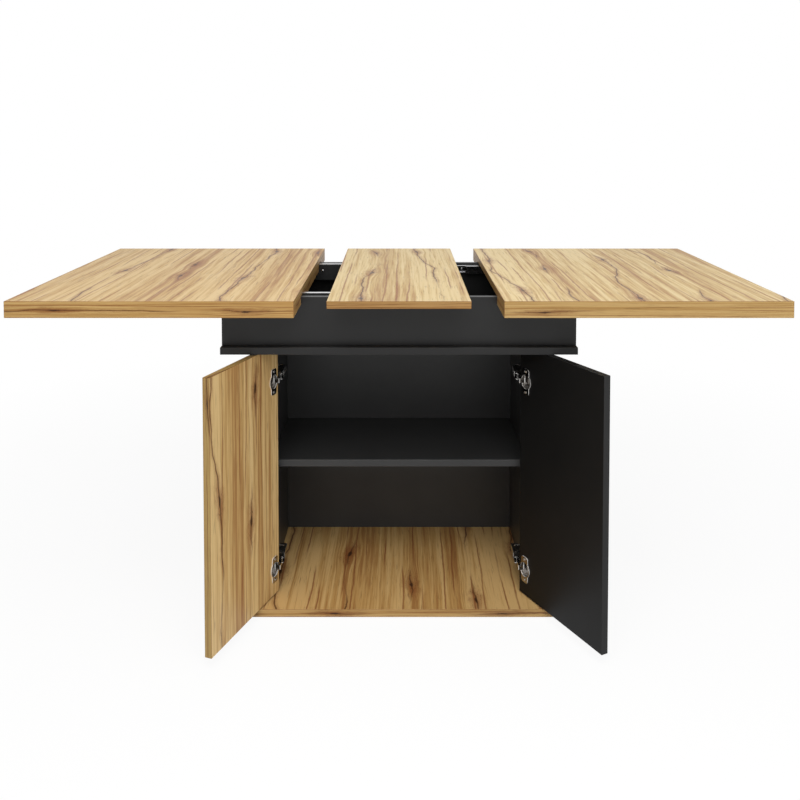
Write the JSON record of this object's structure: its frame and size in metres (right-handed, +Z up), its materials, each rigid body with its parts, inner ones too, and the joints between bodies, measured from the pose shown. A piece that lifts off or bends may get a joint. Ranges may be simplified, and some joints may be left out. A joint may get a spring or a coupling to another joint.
{
  "type": "extending kitchen table with storage cabinet",
  "caption": "Extending table whose two halves slide apart over a loose leaf, on a pedestal cabinet with two hinged doors and a shelf.",
  "frame": {"origin": "on the floor under the middle of the table, in the lower face of the middle glide", "axes": "+X to the right along the table as seen from the doors, +Y from the doors to the back, +Z up"},
  "size_m": [1.636, 0.8548, 0.75],
  "materials": {
    "oak": "matt oak-decor board",
    "anthracite": "matt anthracite-decor board",
    "bearer_dark": "matt black-painted batten",
    "steel": "zinc-plated rolled steel",
    "nickel": "nickel-plated pressed steel",
    "black_plastic": "black plastic",
    "aluminium": "satin aluminium strip",
    "felt": "needle felt"
  },
  "bodies": {
    "cabinet": {"frame_back_wall": "anthracite", "frame_front_wall": "anthracite", "frame_right_end": "anthracite", "frame_left_end": "anthracite", "frame_corner_blocks": "anthracite", "cabinet_top_board": "anthracite", "right_side_panel": "anthracite", "left_side_panel": "anthracite", "back_panel": "anthracite", "shelf": "anthracite", "shelf_pins": "steel", "base_plate": "oak", "base_glides": "black_plastic", "left_slide_fixed_members": "steel", "right_slide_fixed_members": "steel", "left_slide_screws": "steel", "right_slide_screws": "steel", "left_hinge_arms": "nickel", "right_hinge_arms": "nickel", "left_hinge_plates": "nickel", "right_hinge_plates": "nickel", "left_hinge_fixings": "nickel", "right_hinge_fixings": "nickel"},
    "left_half": {"left_half_board": "oak", "left_edge_strips": "oak", "left_bearers": "bearer_dark", "tongue_glide_strips": "aluminium", "left_slide_moving_members": "steel", "left_bearer_screws": "steel"},
    "right_half": {"right_half_board": "oak", "right_edge_strips": "oak", "right_bearers": "bearer_dark", "right_slide_moving_members": "steel", "right_bearer_screws": "steel"},
    "left_slide_middle": {"left_slide_runners": "steel", "left_slide_ball_cages": "steel"},
    "right_slide_middle": {"right_slide_runners": "steel", "right_slide_ball_cages": "steel"},
    "leaf": {"extension_leaf": "oak", "leaf_felt_pads": "felt"},
    "left_door": {"left_door": "oak", "left_hinge_cups": "nickel", "left_hinge_screws": "nickel"},
    "right_door": {"right_door": "anthracite", "right_hinge_cups": "nickel", "right_hinge_screws": "nickel"},
    "left_hinge_links": {"left_hinge_links": "nickel"},
    "right_hinge_links": {"right_hinge_links": "nickel"}
  },
  "joints": [
    {"name": "left_half_slide", "type": "slide", "parent": "cabinet", "child": "left_half", "axis": [1, 0, 0], "range_m": [0, 0.067]},
    {"name": "right_half_slide", "type": "slide", "parent": "cabinet", "child": "right_half", "axis": [-1, 0, 0], "range_m": [0, 0.067]},
    {"name": "left_slide_middle_travel", "type": "slide", "parent": "cabinet", "child": "left_slide_middle", "axis": [1, 0, 0], "range_m": [0, 0.034]},
    {"name": "right_slide_middle_travel", "type": "slide", "parent": "cabinet", "child": "right_slide_middle", "axis": [-1, 0, 0], "range_m": [0, 0.034]},
    {"name": "leaf_lift", "type": "slide", "parent": "cabinet", "child": "leaf", "axis": [0, 0, 1], "range_m": [0, 0.12]},
    {"name": "left_door_hinge", "type": "hinge", "parent": "cabinet", "child": "left_door", "pos_m": [-0.2975, -0.171, 0.3], "axis": [0, 0, 1], "range_deg": [-7, 110]},
    {"name": "right_door_hinge", "type": "hinge", "parent": "cabinet", "child": "right_door", "pos_m": [0.2975, -0.171, 0.3], "axis": [0, 0, 1], "range_deg": [-117, 0]},
    {"name": "left_link_fold", "type": "hinge", "parent": "left_door", "child": "left_hinge_links", "pos_m": [-0.2896, -0.18292, 0.3], "axis": [0, 0, 1], "range_deg": [-100.5, 7]},
    {"name": "right_link_fold", "type": "hinge", "parent": "right_door", "child": "right_hinge_links", "pos_m": [0.29111, -0.18379, 0.3], "axis": [0, 0, 1], "range_deg": [-0.5, 107.5]}
  ],
  "couplings": [
    {"joint": "left_slide_middle_travel", "follows": "left_half_slide", "ratio": 0.5},
    {"joint": "right_slide_middle_travel", "follows": "right_half_slide", "ratio": 0.5},
    {"joint": "left_link_fold", "follows": "left_door_hinge", "ratio": -0.90909},
    {"joint": "right_link_fold", "follows": "right_door_hinge", "ratio": -0.91453}
  ]
}
